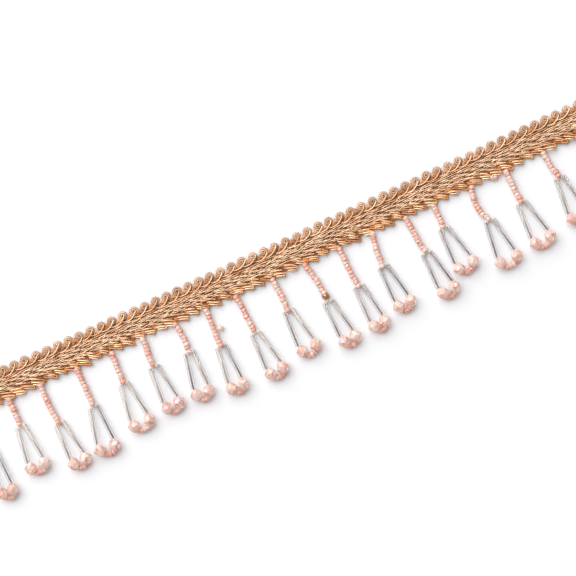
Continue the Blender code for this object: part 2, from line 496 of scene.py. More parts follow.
def swept_cord(board, curve, radius, sides):
    """Measure along the curve, then sweep a round section and shade it smooth."""
    length = board.node("GeometryNodeSplineParameter")["Length"]
    measured = keep(board, curve, "along", length, "POINT")
    circle_inputs = {"Resolution": sides, "Radius": radius}
    section = board.node("GeometryNodeCurvePrimitiveCircle", {"mode": "RADIUS"}, circle_inputs)["Curve"]
    sweep_inputs = {"Curve": measured, "Profile Curve": section, "Fill Caps": True}
    cord = board.node("GeometryNodeCurveToMesh", None, sweep_inputs)["Mesh"]
    return board.node("GeometryNodeSetShadeSmooth", None, {"Geometry": cord})["Geometry"]


def random_number(board, low, high, seed):
    inputs = {"Min": low, "Max": high, "Seed": seed}
    return board.node("FunctionNodeRandomValue", {"data_type": "FLOAT"}, inputs)["Value"]


def either_way(board, reach, seed):
    """A random number from -reach to reach."""
    return random_number(board, reach * -1.0, reach, seed)


def vector(board, x, y, z):
    return board.node("ShaderNodeCombineXYZ", None, {"X": x, "Y": y, "Z": z})["Vector"]


def object_input(board, given):
    return board.node("GeometryNodeObjectInfo", None, {"Object": given})["Geometry"]


SHADE_SPREAD = 0.12


def repeat_tree():
    numbers = ("Across", "Shift", "Slide", "Lift", "Turn", "Swell", "Cord Radius", "Shade")
    inputs = {"Unit": "object", **dict.fromkeys(numbers, "number")}
    inputs.update({"Sides": "whole", "Seed": "whole", "Material": "material"})
    board, given = new_growth("repeat_along_braid", inputs)
    seed = given["Seed"]
    line_inputs = {"Count": REPEATS, "Start Location": (FIRST_REPEAT * MM, 0, 0), "Offset": (PITCH * MM, 0, 0)}
    line = board.node("GeometryNodeMeshLine", {"mode": "OFFSET"}, line_inputs)["Mesh"]
    position = board.node("GeometryNodeInputPosition")["Position"]
    x = board.node("ShaderNodeSeparateXYZ", None, {0: position})["X"]
    slide = either_way(board, given["Slide"], seed)
    lift = either_way(board, given["Lift"], seed + 1)
    bow = (x / (BRAID_LENGTH / 2 * MM)) ** 2 * (BRAID_BOW * MM)
    place = vector(board, x + given["Shift"] + slide, bow + lift + given["Across"] + MIDDLE * MM, 0.0)
    spots = board.node("GeometryNodeSetPosition", None, {"Geometry": line, "Position": place})["Geometry"]
    turn = either_way(board, given["Turn"], seed + 2)
    spin = board.node("FunctionNodeEulerToRotation", None, {0: vector(board, 0.0, 0.0, turn)})["Rotation"]
    size = random_number(board, 1.0 - given["Swell"], 1.0 + given["Swell"], seed + 3)
    set_inputs = {"Points": spots, "Instance": object_input(board, given["Unit"])}
    set_inputs.update({"Rotation": spin, "Scale": vector(board, size, size, size)})
    units = board.node("GeometryNodeInstanceOnPoints", None, set_inputs)["Instances"]
    # The shade paints each piece's cords lighter or darker: painted light for where they lie, plus a little
    # random tone.
    shade = given["Shade"] + random_number(board, -SHADE_SPREAD, SHADE_SPREAD, seed + 4)
    shaded = keep(board, units, "shade", shade, "INSTANCE")
    real = board.node("GeometryNodeRealizeInstances", None, {"Geometry": shaded})["Geometry"]
    cord = swept_cord(board, real, given["Cord Radius"], given["Sides"])
    return finish_growth(board, cord, given["Material"])


REPEAT = repeat_tree()


def repeated(
    name, routes, cord_radius, material, seed,
    across=0.0, shift=0.0, slide=0.1, lift=0.06, turn=2.0, swell=0.03, sides=6, shade=0.5,
):
    """Repeat a unit of cord along the braid. Sizes are in millimetres, turns in degrees."""
    unit = guide(name + "_unit", routes)
    lengths = {"Across": across, "Shift": shift, "Slide": slide, "Lift": lift, "Cord Radius": cord_radius}
    values = {label: length * MM for label, length in lengths.items()}
    values.update({"Unit": unit, "Turn": math.radians(turn), "Swell": swell, "Sides": sides})
    values.update({"Shade": shade, "Seed": seed, "Material": material})
    piece = grow(name, REPEAT, values)
    bpy.data.objects.remove(unit)
    print(f"{name}: {triangles(piece)} triangles")
    return piece


# %% [markdown]
# ## The braid's ground
# Under the cords lies a thin woven tape, which is what would be sewn to a hem. Its dark colour is painted
# shade for the gaps between the cords. Its upper edge swells under each coil and its lower edge reaches out
# under each leaf. Both edges are formulas of the place along the braid, so the tape is a grid of points
# between them, thickened by a Solidify modifier.

# %% Tape with scalloped edges
TAPE_THICKNESS = 0.8
TAPE_ROWS = 8
STEPS_PER_REPEAT = 8
VALLEY_ACROSS = 3.45
SWELL_RADIUS = 1.3
LEAF_TIP_SHIFT = -0.45
LEAF_TIP_ACROSS = -5.1
TIP_COVER = 0.3
NOTCH_DEPTH = 1.2
NOTCH_SLOPE = 1.4


def phase(x, shift):
    """How far x is through its repeat, from -0.5 to 0.5, with the repeat's middle moved by shift."""
    turns = (x - FIRST_REPEAT - shift) / PITCH
    return turns - math.floor(turns + 0.5)


def tape_upper(x):
    """A half circle under each coil and a straight valley between two of them."""
    aside = phase(x, 0.0) * PITCH / SWELL_RADIUS
    return VALLEY_ACROSS + SWELL_RADIUS * math.sqrt(max(0.0, 1.0 - aside**2))


def tape_lower(x):
    """A notch between two leaf tips that is twice as steep on a tip's right side as on its left."""
    ahead = phase(x, LEAF_TIP_SHIFT)
    rise = ahead * 2.0 if ahead > 0 else -ahead
    return LEAF_TIP_ACROSS + TIP_COVER + NOTCH_DEPTH * min(1.0, rise * NOTCH_SLOPE)


def make_tape():
    stations = REPEATS * STEPS_PER_REPEAT
    bm = bmesh.new()
    columns = []
    for station in range(stations + 1):
        x = -BRAID_LENGTH / 2 + BRAID_LENGTH * station / stations
        low, high = tape_lower(x), tape_upper(x)
        column = []
        for row in range(TAPE_ROWS + 1):
            across = low + (high - low) * row / TAPE_ROWS
            column.append(bm.verts.new(Vector((x, middle_line(x) + across, TAPE_THICKNESS)) * MM))
        columns.append(column)
    for left, right in zip(columns, columns[1:]):
        for row in range(TAPE_ROWS):
            bm.faces.new((left[row], right[row], right[row + 1], left[row + 1]))
    mesh = bpy.data.meshes.new("braid_tape")
    bm.to_mesh(mesh)
    bm.free()
    mesh.materials.append(ground)
    tape = show("braid_tape", mesh)
    wall = tape.modifiers.new("wall", "SOLIDIFY")
    wall.thickness = TAPE_THICKNESS * MM
    wall.offset = -1.0
    solid = bpy.data.meshes.new_from_object(tape.evaluated_get(bpy.context.evaluated_depsgraph_get()))
    tape.modifiers.clear()
    tape.data = solid
    return tape


tape = make_tape()
print("tape:", triangles(tape), "triangles")

# %% [markdown]
# ## Upper edge: scallops of coiled yarn
# Each scallop is one cord coiled like a snail, out along the underside and back in over the top. The coil is
# drawn once as a spiral, and each copy is turned freely so that no two show the same end of yarn.

# %% Coiled scallops
COIL_ACROSS = 4.35
COIL_CORD = 0.34
COIL_REACH = 1.13
COIL_CORE = 0.08
COIL_TURNS = 6.3
COIL_POINTS = 88
COIL_OPENING = 1.7
COIL_FLOOR = 0.32


def coil_route():
    route = []
    for step in range(COIL_POINTS):
        t = step / (COIL_POINTS - 1)
        opening = min(1.0, COIL_OPENING * (1.0 - abs(2.0 * t - 1.0)))
        ring = COIL_CORE + (COIL_REACH - COIL_CORE) * opening
        around = 2.0 * math.pi * COIL_TURNS * t
        height = COIL_FLOOR + 0.45 * t + 0.6 * t * t
        route.append((ring * math.cos(around), ring * math.sin(around), height))
    return route


coils = repeated(
    "braid_coils", [coil_route()], COIL_CORD, wound,
    across=COIL_ACROSS, slide=0.16, turn=180.0, swell=0.1, shade=0.42, seed=11,
)

# %% [markdown]
# A bright cord runs under the coils, one length for each. It comes from below the coil before, sags a little
# and then climbs over the right side of its own coil, where it dives into the winding.

# %% Bright climbing cords
CLIMB_POINTS = [
    (-4.1, 2.45, 0.85),
    (-3.5, 2.20, 1.15),
    (-2.6, 2.10, 1.40),
    (-1.6, 2.20, 1.55),
    (-0.65, 2.62, 1.78),
    (0.05, 3.10, 1.95),
    (0.48, 3.48, 1.95),
    (0.76, 3.82, 1.65),
    (0.85, 4.10, 1.10),
]
climbs = repeated(
    "braid_climbing_cords", [smooth_route(CLIMB_POINTS, 4)], 0.2, gimp,
    slide=0.2, turn=4.0, swell=0.12, shade=0.79, seed=23,
)

# %% Pointed loops between the coils
SHOULDER = PITCH / 2


def shoulder_route(half_width, top):
    """A pointed arch between two coils, leaning to the right."""
    points = [
        (-half_width, 2.35, 0.8),
        (-half_width * 0.7, 3.0, 1.0),
        (-0.1, top - 0.25, 1.15),
        (0.12, top, 1.1),
        (0.35, top - 0.3, 1.1),
        (half_width * 0.85, 2.9, 0.95),
        (half_width, 2.3, 0.8),
    ]
    return [Vector(point) + Vector((SHOULDER, 0, 0)) for point in smooth_route(points, 3)]


shoulders = repeated(
    "braid_shoulders",
    [shoulder_route(1.25, 4.1), shoulder_route(0.8, 3.65), shoulder_route(0.35, 3.15)],
    0.24, gimp, slide=0.16, turn=4.0, sides=5, shade=0.52, seed=31,
)

# %% [markdown]
# ## Middle rows
# The plaited middle shows as rows of long stitches with dark gaps between them, where the tape's painted
# shade shows through. They climb to the right in the upper rows, lie level in the middle and fall to the
# right in the lower rows. Each row repeats one stitch, an arch whose two ends dive below its neighbours.

# %% Rows of long stitches
STITCH_COLUMNS = ("across", "slope", "length", "shade")
# The shade column is painted light: the rows near both edges are painted darker, as shade, than the middle
# rows.
STITCH_TABLE = (
    (1.62, 3.0, 4.2, 0.66),
    (1.06, 5.0, 4.0, 0.76),
    (0.50, 3.0, 3.6, 0.80),
    (-0.06, 1.0, 3.4, 0.84),
    (-0.62, 0.0, 3.4, 0.84),
    (-1.18, 1.0, 3.6, 0.82),
    (-1.74, -1.0, 3.8, 0.78),
    (-2.28, -4.0, 3.8, 0.66),
    (-2.78, -9.0, 3.4, 0.48),
)
STITCHES = [dict(zip(STITCH_COLUMNS, row)) for row in STITCH_TABLE]
STITCH_CORD = 0.178
STITCH_SWAY = 0.08
ROW_STEP = 1.37


def stitch_route(slope, length, low=0.8, high=1.5):
    """A stitch through the origin, highest in the middle."""
    angle = math.radians(slope)
    route = []
    for step in range(11):
        t = step / 10
        along = length * (t - 0.5)
        height = low + (high - low) * math.sin(math.pi * t) ** 0.6
        sway = STITCH_SWAY * math.sin(2.0 * math.pi * t)
        x = along * math.cos(angle) - sway * math.sin(angle)
        y = along * math.sin(angle) + sway * math.cos(angle)
        route.append((x, y, height))
    return route


rows = []
for number, stitch in enumerate(STITCHES):
    shift = number * ROW_STEP % PITCH - PITCH / 2
    row = repeated(
        f"row_{number}", [stitch_route(stitch["slope"], stitch["length"])], STITCH_CORD, gimp,
        across=stitch["across"], shift=shift, slide=0.45, lift=0.1, turn=5.0, swell=0.1,
        shade=stitch["shade"], seed=100 + number * 10,
    )
    rows.append(row)
rows = join("braid_rows", rows)
print("rows:", len(STITCHES), "triangles", triangles(rows))

# %% [markdown]
# Thinner ends of yarn lie loosely over the rows, each at its own slant. They break the regular rows up.

# %% Loose fine stitches
LOOSE_ACROSS = (1.25, 0.6, 0.0, -0.65, -1.3, -1.95)
loose = []
for number, across in enumerate(LOOSE_ACROSS):
    slope = 4.0 * across + (-1) ** number * 4.0
    strand = repeated(
        f"loose_{number}", [stitch_route(slope, 2.4, 1.0, 1.7)], 0.13, gimp,
        across=across, slide=1.8, lift=0.3, turn=9.0, swell=0.25, sides=5, shade=0.88, seed=300 + number * 10,
    )
    loose.append(strand)
loose = join("braid_loose_stitches", loose)
print("loose stitches:", len(LOOSE_ACROSS), "rows,", triangles(loose), "triangles")

# %% [markdown]
# ## Lower edge: slanting leaves
# Each leaf is a loop of cord that comes out from under the rows and slants down to the right. Lengths of
# cord with a dark painted shade lie low, under the loop and in the gap above it. A few strands with a pale
# painted highlight are thrown over the top and tucked in at both ends. One function bends every cord of the
# leaf in the same way.

# %% Leaves
LEAF_LENGTH = 4.5
LEAF_HALF = 0.42
LEAF_SLANT = -31.0
LEAF_ROOT_SLANT = -20.0
LEAF_STEPS = 8
TIP_LENGTH = 0.4
LOOP_LOW, LOOP_HIGH, LOOP_RISE = 0.8, 0.9, 0.35


def leaf_angle(along):
    """The slant at this distance from the tip, in radians."""
    return math.radians(LEAF_SLANT + (LEAF_ROOT_SLANT - LEAF_SLANT) * along / LEAF_LENGTH)


def leaf_place(along, side, height):
    """A point of the leaf: `along` runs back from the tip in millimetres and `side` lies across it."""
    x = y = 0.0
    for step in range(LEAF_STEPS):
        angle = leaf_angle((step + 0.5) / LEAF_STEPS * along)
        x -= math.cos(angle) * along / LEAF_STEPS
        y -= math.sin(angle) * along / LEAF_STEPS
    angle = leaf_angle(along)
    x -= side * math.sin(angle)
    y += side * math.cos(angle)
    return (x + LEAF_TIP_SHIFT, y + LEAF_TIP_ACROSS + 0.1, height)


def leaf_width(t):
    """The half width on the way from the root, t = 0, to the tip, t = 1."""
    return LEAF_HALF * (0.5 + 1.1 * t - 0.7 * t * t)


def leaf_rim():
    """Down the upper side, round the tip and back up the lower side."""
    route = []
    for step in range(LEAF_STEPS + 1):
        t = step / LEAF_STEPS
        along = LEAF_LENGTH + (TIP_LENGTH - LEAF_LENGTH) * t
        route.append(leaf_place(along, leaf_width(t), LOOP_HIGH + LOOP_RISE * t))
    for step in range(1, LEAF_STEPS):
        angle = math.pi * step / LEAF_STEPS
        along = TIP_LENGTH - TIP_LENGTH * math.sin(angle)
        route.append(leaf_place(along, leaf_width(1.0) * math.cos(angle), LOOP_HIGH + LOOP_RISE - 0.03))
    for step in range(LEAF_STEPS + 1):
        t = 1.0 - step / LEAF_STEPS
        along = LEAF_LENGTH + (TIP_LENGTH - LEAF_LENGTH) * t
        route.append(leaf_place(along, -leaf_width(t), LOOP_LOW + LOOP_RISE * t))
    return route


def leaf_stroke(start, side, length, height):
    """A strand on a leaf, thrown over the loop and tucked in at both ends."""
    route = []
    for step in range(LEAF_STEPS + 1):
        t = step / LEAF_STEPS
        arch = math.sin(math.pi * (0.12 + 0.8 * t))
        route.append(leaf_place(start + length * t, side - 0.1 * t, height * (0.6 + 0.4 * arch)))
    return route


FEATHER_LENGTH = 3.0


def leaf_feather(start, side, height):
    """A lower strand that fills the gap above a leaf."""
    parts = [step / 6 for step in range(7)]
    return [leaf_place(start + FEATHER_LENGTH * part, side - 0.12 * part, height) for part in parts]


SHADE_BEDS = [leaf_feather(0.85, 0.0, 0.55), leaf_feather(1.5, 0.85, 0.55)]
FEATHERS = [leaf_feather(1.3, 0.98, 0.9), leaf_feather(0.75, 0.0, 0.72)]
STROKES = [
    leaf_stroke(0.35, 0.36, 3.4, 1.7),
    leaf_stroke(1.5, 1.25, 3.4, 1.35),
    leaf_stroke(0.6, -0.3, 2.6, 1.6),
]
# Beds and feathers are painted dark as shade in the gaps; the rims sit between, and the strokes are painted
# pale as highlight.
leaf_shade_beds = repeated(
    "braid_leaf_beds", SHADE_BEDS, 0.5, copper_gimp, slide=0.2, turn=3.0, shade=0.1, seed=41,
)
leaf_feathers = repeated(
    "braid_leaf_feathers", FEATHERS, 0.24, copper_gimp, slide=0.2, lift=0.1, turn=4.0, shade=0.2, seed=53,
)
leaf_rims = repeated(
    "braid_leaf_rims", [leaf_rim()], 0.34, copper_gimp,
    slide=0.22, lift=0.12, turn=5.0, swell=0.1, shade=0.4, seed=41,
)
leaf_strokes = repeated(
    "braid_leaf_strokes", STROKES, 0.23, copper_gimp,
    slide=0.3, lift=0.12, turn=8.0, swell=0.15, shade=0.86, seed=43,
)

# %% [markdown]
# Fine fibres stand out all round the coils and off the leaf tips, which softens both edges of the braid. Each
# tuft is a handful of hairs round one point, repeated with a free turn.

# %% Fine fibres at both edges
HAIR_RADIUS = 0.04


def tuft(hairs, reach, low, seed):
    """Short bent hairs that start inside a yarn and point outwards in all directions."""
    draw = random.Random(seed)
    routes = []
    for hair in range(hairs):
        around = 2.0 * math.pi * (hair + draw.uniform(-0.3, 0.3)) / hairs
        start = reach * 0.72
        length = reach * draw.uniform(0.45, 0.76)
        bend = draw.uniform(-0.35, 0.35)
        rise = draw.uniform(-0.2, 0.5)
        route = []
        for t in (0.0, 0.5, 1.0):
            angle = around + bend * t
            out = start + length * t
            route.append((out * math.cos(angle), out * math.sin(angle), low + rise * t))
        routes.append(route)
    return routes


coil_hairs = repeated(
    "coil_fibres", tuft(34, 1.2, 0.9, 3), HAIR_RADIUS, wound,
    across=COIL_ACROSS, slide=0.16, turn=180.0, sides=3, shade=0.5, seed=11,
)
leaf_hairs = repeated(
    "leaf_fibres", tuft(18, 0.8, 0.9, 4), HAIR_RADIUS, copper_gimp,
    across=LEAF_TIP_ACROSS + 0.5, shift=LEAF_TIP_SHIFT - 0.5, turn=180.0, sides=3, shade=0.7, seed=47,
)

# %% [markdown]
# ## The drops
# Each drop hangs from the braid's lower edge: a strand of seed beads, then a fork of two glass bugle tubes,
# each with a cut crystal at its foot, and a short link of seed beads from crystal to crystal. One table says
# how each drop happens to lie, and every bead is placed from it.

# %% How the drops lie
DROP_COLUMNS = ("at", "strand", "lean", "bend", "left", "right")
DROP_ROWS = (
    (-112.7, 12.3, -0.2, 0.2, -7.0, 2.0),
    (-100.8, 8.7, -0.2, 0.0, -7.8, 6.0),
    (-89.7, 12.9, 0.5, -0.3, -1.8, 10.0),
    (-76.8, 12.6, -0.2, 0.1, -13.0, 2.5),
    (-64.4, 9.9, -0.5, 0.1, -7.9, 8.6),
    (-53.3, 8.8, -0.5, -0.1, -3.6, 8.7),
    (-41.6, 9.2, 0.2, 0.4, -12.2, 0.0),
    (-30.7, 11.8, -0.5, -0.1, -8.0, 3.3),
    (-20.0, 12.6, 0.7, 0.0, -1.8, 11.5),
    (-7.1, 10.3, 0.4, 0.3, -2.6, 12.0),
    (4.5, 13.1, 1.8, 0.5, 0.0, 11.3),
    (17.0, 12.7, 0.4, -0.4, -0.9, 9.3),
    (28.5, 10.3, -1.2, -0.3, -0.9, 11.1),
    (40.5, 12.3, 1.4, -0.3, 0.0, 11.8),
    (50.3, 7.4, 0.0, 0.1, -1.6, 14.2),
    (63.9, 11.5, 0.9, -1.4, -8.0, 10.3),
    (76.2, 10.6, 0.4, 0.1, -3.5, 13.4),
    (89.9, 8.5, 1.4, -0.3, -6.0, 8.0),
    (102.1, 9.8, -0.3, 0.3, -5.0, 9.0),
    (113.9, 11.4, 0.4, -0.2, -8.0, 4.0),
)
DROPS = [dict(zip(DROP_COLUMNS, row)) for row in DROP_ROWS]

SEED_RADIUS = 0.96
SEED_LENGTH = 1.3
SEED_SPACING = 1.2
BUGLE_RADIUS = 0.9
BUGLE_BORE = 0.28
LINING_RADIUS = 0.26
BUGLE_LENGTH = 12.0
CRYSTAL_RADIUS = 2.0
CRYSTAL_GIRTH = 2.1
CRYSTAL_HEIGHT = 2.2
CRYSTAL_PULL = 0.6
ARM_SPREAD = 1.25
ARM_DROP = 0.4
BUGLE_FOOT_RISE = 0.6
LINK_SAG = 1.9
LINK_START = 0.4
BEAD_HEIGHT = 1.12


def strand_place(drop, t):
    """A point of the strand: t runs from 0 at the braid to 1 at the fork."""
    top = middle_line(drop["at"]) - BRAID_WIDTH / 2
    x = drop["at"] + drop["lean"] * t + drop["bend"] * math.sin(math.pi * t)
    return Vector((x, top - drop["strand"] * t, BEAD_HEIGHT))


def arm_places(drop, side):
    """Top and foot of one bugle and the centre of its crystal."""
    angle = math.radians(drop["left"] if side < 0 else drop["right"])
    down = Vector((math.sin(angle), -math.cos(angle), 0.0))
    fork = strand_place(drop, 1.0)
    top = fork + Vector((side * ARM_SPREAD, -ARM_DROP, 0.0))
    foot = top + BUGLE_LENGTH * down + Vector((0.0, 0.0, BUGLE_FOOT_RISE))
    crystal = foot + CRYSTAL_RADIUS * down - Vector((side * CRYSTAL_PULL, 0.0, 0.0))
    crystal.z = CRYSTAL_HEIGHT
    return top, foot, crystal


def link_place(left, right, t):
    """A point of the link: t runs from 0 at the left crystal to 1 at the right one."""
    angle = math.pi * t
    place = left.lerp(right, (1.0 - math.cos(angle)) / 2.0)
    place.y -= LINK_SAG * math.sin(angle) + LINK_START
    place.z = BEAD_HEIGHT + (CRYSTAL_HEIGHT - BEAD_HEIGHT) * (1.0 - math.sin(angle))
    return place


longest = max(drop["strand"] for drop in DROPS)
print("drops:", len(DROPS), "seed beads in the longest strand:", round(longest / SEED_LENGTH))


# %% Bead shapes
def turned(name, profile, steps):
    """A bead turned from a closed profile of (radius, height) pairs in millimetres, around its own hole."""
    vertices = []
    faces = []
    count = len(profile)
    for step in range(steps):
        angle = 2.0 * math.pi * step / steps
        vertices += [(r * math.cos(angle) * MM, r * math.sin(angle) * MM, z * MM) for r, z in profile]
        for spot in range(count):
            after = (spot + 1) % count
            here, ahead = step * count, (step + 1) % steps * count
            faces.append((here + spot, ahead + spot, ahead + after, here + after))
    mesh = bpy.data.meshes.new(name)
    mesh.from_pydata(vertices, [], faces)
    mesh.shade_smooth()
    return show(name, mesh)


SEED_HOLE = 0.3
SEED_BULGE = 1.08


def seed_bead():
    """A rounded ring, like a short slice of tube melted round."""
    half = SEED_BULGE * SEED_LENGTH / 2
    middle = (SEED_RADIUS + SEED_HOLE) / 2
    wall = (SEED_RADIUS - SEED_HOLE) / 2
    angles = [2.0 * math.pi * step / 10 for step in range(10)]
    return turned("seed_bead", [(middle + wall * math.cos(a), half * math.sin(a)) for a in angles], 12)


def lining():
    """The narrow lining of a bugle's bore, with an end wall at both ends."""
    half = BUGLE_LENGTH / 2 - 0.1
    profile = [(0.02, -half), (LINING_RADIUS, -half), (LINING_RADIUS, half), (0.02, half)]
    return turned("lining", profile, 10)


def bugle():
    """A cut length of glass tube with slightly rounded rims."""
    half = BUGLE_LENGTH / 2
    rim = 0.1
    profile = [
        (BUGLE_BORE, -half + rim),
        (BUGLE_BORE + rim, -half),
        (BUGLE_RADIUS - rim, -half),
        (BUGLE_RADIUS, -half + rim),
        (BUGLE_RADIUS, half - rim),
        (BUGLE_RADIUS - rim, half),
        (BUGLE_BORE + rim, half),
        (BUGLE_BORE, half - rim),
    ]
    obj = turned("bugle", profile, 20)
    obj.data.set_sharp_from_angle(angle=math.radians(30.0))
    return obj


CRYSTAL_SIDES = 6
CRYSTAL_DEPTH = 0.95
CRYSTAL_RINGS = (
    (0.30, 1.0, 0.0),
    (0.66, 0.66, 0.5),
    (1.0, 0.14, 0.0),
    (1.0, -0.14, 0.5),
    (0.66, -0.66, 0.0),
    (0.30, -1.0, 0.5),
)


def crystal():
    """A cut bead: rings of points, each turned by half a facet, wrapped in flat faces."""
    bm = bmesh.new()
    for radius, height, turn in CRYSTAL_RINGS:
        for side in range(CRYSTAL_SIDES):
            angle = 2.0 * math.pi * (side + turn) / CRYSTAL_SIDES
            point = Vector((radius * math.cos(angle), radius * math.sin(angle), height * CRYSTAL_DEPTH))
            bm.verts.new(point * (CRYSTAL_GIRTH * MM))
    bmesh.ops.convex_hull(bm, input=bm.verts)
    bmesh.ops.dissolve_limit(bm, angle_limit=math.radians(2.0), verts=bm.verts, edges=bm.edges)
    bmesh.ops.recalc_face_normals(bm, faces=bm.faces)
    mesh = bpy.data.meshes.new("crystal")
    bm.to_mesh(mesh)
    bm.free()
    return show("crystal", mesh)


seed_shape = seed_bead()
bugle_shape = bugle()
lining_shape = lining()
crystal_shape = crystal()
print("faces:", [(o.name, len(o.data.polygons)) for o in (seed_shape, bugle_shape, crystal_shape)])

# %% [markdown]
# ## Stringing beads
# A bead's hole lies along the thread. The tree walks each guide at a fixed spacing, turns a copy of the bead
# to the thread's direction, and then tilts, rolls and resizes it a little, as beads on a thread settle.


# %% Tree: beads on a thread
def bead_tree():
    numbers = ("Spacing", "Tilt", "Wander", "Swell", "Shade", "Shade Spread")
    inputs = {"Thread": "object", "Bead": "object", **dict.fromkeys(numbers, "number")}
    inputs.update({"Seed": "whole", "Material": "material"})
    board, given = new_growth("beads_on_thread", inputs)
    seed = given["Seed"]
    walk_inputs = {"Curve": object_input(board, given["Thread"]), "Length": given["Spacing"]}
    walk = board.node("GeometryNodeCurveToPoints", {"mode": "LENGTH"}, walk_inputs)
    aimed = board.node("FunctionNodeAlignRotationToVector", {"axis": "Z"}, {"Vector": walk["Tangent"]})
    tilt_x = either_way(board, given["Tilt"], seed)
    tilt_y = either_way(board, given["Tilt"], seed + 1)
    roll = random_number(board, 0.0, 2.0 * math.pi, seed + 2)
    settle = board.node("FunctionNodeEulerToRotation", None, {0: vector(board, tilt_x, tilt_y, roll)})
    turn_inputs = {"Rotation": aimed["Rotation"], "Rotate By": settle["Rotation"]}
    turn = board.node("FunctionNodeRotateRotation", {"rotation_space": "LOCAL"}, turn_inputs)["Rotation"]
    size = random_number(board, 1.0 - given["Swell"], 1.0 + given["Swell"], seed + 3)
    aside = either_way(board, given["Wander"], seed + 6)
    ahead = either_way(board, given["Wander"] * 0.5, seed + 7)
    stray_inputs = {"Geometry": walk["Points"], "Offset": vector(board, aside, ahead, 0.0)}
    strays = board.node("GeometryNodeSetPosition", None, stray_inputs)["Geometry"]
    string_inputs = {"Points": strays, "Instance": object_input(board, given["Bead"])}
    string_inputs.update({"Rotation": turn, "Scale": vector(board, size, size, size)})
    beads = board.node("GeometryNodeInstanceOnPoints", None, string_inputs)["Instances"]
    shade = given["Shade"] + either_way(board, given["Shade Spread"], seed + 4)
    shaded = keep(board, beads, "shade", shade, "INSTANCE")
    real = board.node("GeometryNodeRealizeInstances", None, {"Geometry": shaded})["Geometry"]
    flashing = keep(board, real, "flash", random_number(board, 0.0, 1.0, seed + 5), "FACE")
    return finish_growth(board, flashing, given["Material"])


BEADS = bead_tree()


def strung(
    name, routes, bead, spacing, material, seed,
    tilt=8.0, wander=0.0, swell=0.05, shade=0.5, spread=0.5,
):
    """String copies of a bead along routes in millimetres."""
    thread = guide(name + "_thread", routes)
    values = {"Thread": thread, "Bead": bead, "Spacing": spacing * MM, "Tilt": math.radians(tilt)}
    values.update({"Wander": wander * MM, "Swell": swell, "Shade": shade, "Shade Spread": spread})
    values.update({"Seed": seed, "Material": material})
    piece = grow(name, BEADS, values)
    bpy.data.objects.remove(thread)
    print(f"{name}: {triangles(piece)} triangles")
    return piece


# %% Seed beads of the strands and links
def route_length(route):
    return sum((Vector(b) - Vector(a)).length for a, b in zip(route, route[1:]))


def whole_beads(route, spacing):
    """Cut a route after a whole number of bead spacings."""
    beads = max(1, round(route_length(route) / spacing))
    left = beads * spacing * 1.0005
    cut = [Vector(route[0])]
    for start, end in zip(route, route[1:]):
        start, end = Vector(start), Vector(end)
        step = (end - start).length
        if step >= left:
            cut.append(start.lerp(end, left / step))
            return cut
        cut.append(end)
        left -= step
    last = cut[-1] - cut[-2]
    cut[-1] = cut[-2] + last.normalized() * (last.length + left)
    return cut


FIRST_BEAD, LAST_BEAD = -0.02, 0.97
LINK_FROM, LINK_TO = 0.2, 0.8
BROWN_DROP, BROWN_AT, BROWN_ROOM = 10, 0.87, 0.07
strand_routes = []
link_routes = []
for number, drop in enumerate(DROPS):
    last = BROWN_AT - BROWN_ROOM if number == BROWN_DROP else LAST_BEAD
    steps = [FIRST_BEAD + (last - FIRST_BEAD) * step / 16 for step in range(17)]
    strand_routes.append(whole_beads([strand_place(drop, t) for t in steps], SEED_SPACING))
    left_crystal = arm_places(drop, -1)[2]
    right_crystal = arm_places(drop, 1)[2]
    steps = [LINK_FROM + (LINK_TO - LINK_FROM) * step / 12 for step in range(13)]
    arc = [link_place(left_crystal, right_crystal, t) for t in steps]
    link_routes.append(whole_beads(arc, SEED_SPACING))
strand_seeds = strung(
    "strand_seed_beads", strand_routes, seed_shape, SEED_SPACING, seed_glass,
    tilt=22.0, wander=0.16, swell=0.1, seed=5,
)
link_seeds = strung(
    "link_seed_beads", link_routes, seed_shape, SEED_SPACING, seed_glass,
    tilt=24.0, wander=0.1, swell=0.09, seed=6,
)

# %% Bugles and crystals
bugle_routes = []
crystal_routes = []
for drop in DROPS:
    for side in (-1, 1):
        top, foot, centre = arm_places(drop, side)
        axis = (foot - top).normalized()
        middle = (top + foot) / 2
        bugle_routes.append([middle, middle + axis * 0.5])
        crystal_routes.append([centre, centre + axis * 0.5])
bugles = strung("bugle_tubes", bugle_routes, bugle_shape, 1.0, clear_glass, tilt=0.6, swell=0.0, seed=7)
linings = strung("bugle_linings", bugle_routes, lining_shape, 1.0, lined_bore, tilt=0.6, swell=0.0, seed=7)
crystals = strung(
    "cut_crystals", crystal_routes, crystal_shape, 1.0, crystal_glass, tilt=7.0, swell=0.02, seed=8,
)


# %% [markdown]
# ## The beading thread
# A cream thread comes out of the braid, runs down the strand and parts at the fork. Each half goes through
# its bugle and crystal, and the halves meet in the link. It shows through the clear tubes and at the fork.


# %% Tree and routes of the thread
def thread_tree():
    inputs = {"Route": "object", "Cord Radius": "number", "Sides": "whole", "Material": "material"}
    board, given = new_growth("thread_on_route", inputs)
    cord = swept_cord(board, object_input(board, given["Route"]), given["Cord Radius"], given["Sides"])
    return finish_growth(board, cord, given["Material"])


THREAD = thread_tree()


def threaded(name, routes, radius, sides):
    """Sweep the cream thread along routes in millimetres."""
    guides = guide(name + "_routes", routes)
    values = {"Route": guides, "Cord Radius": radius * MM, "Sides": sides, "Material": cream_thread}
    piece = grow(name, THREAD, values)
    bpy.data.objects.remove(guides)
    print(f"{name}: {triangles(piece)} triangles")
    return piece


THREAD_RADIUS = 0.18
THREAD_START = Vector((0.0, 0.5, -0.6))


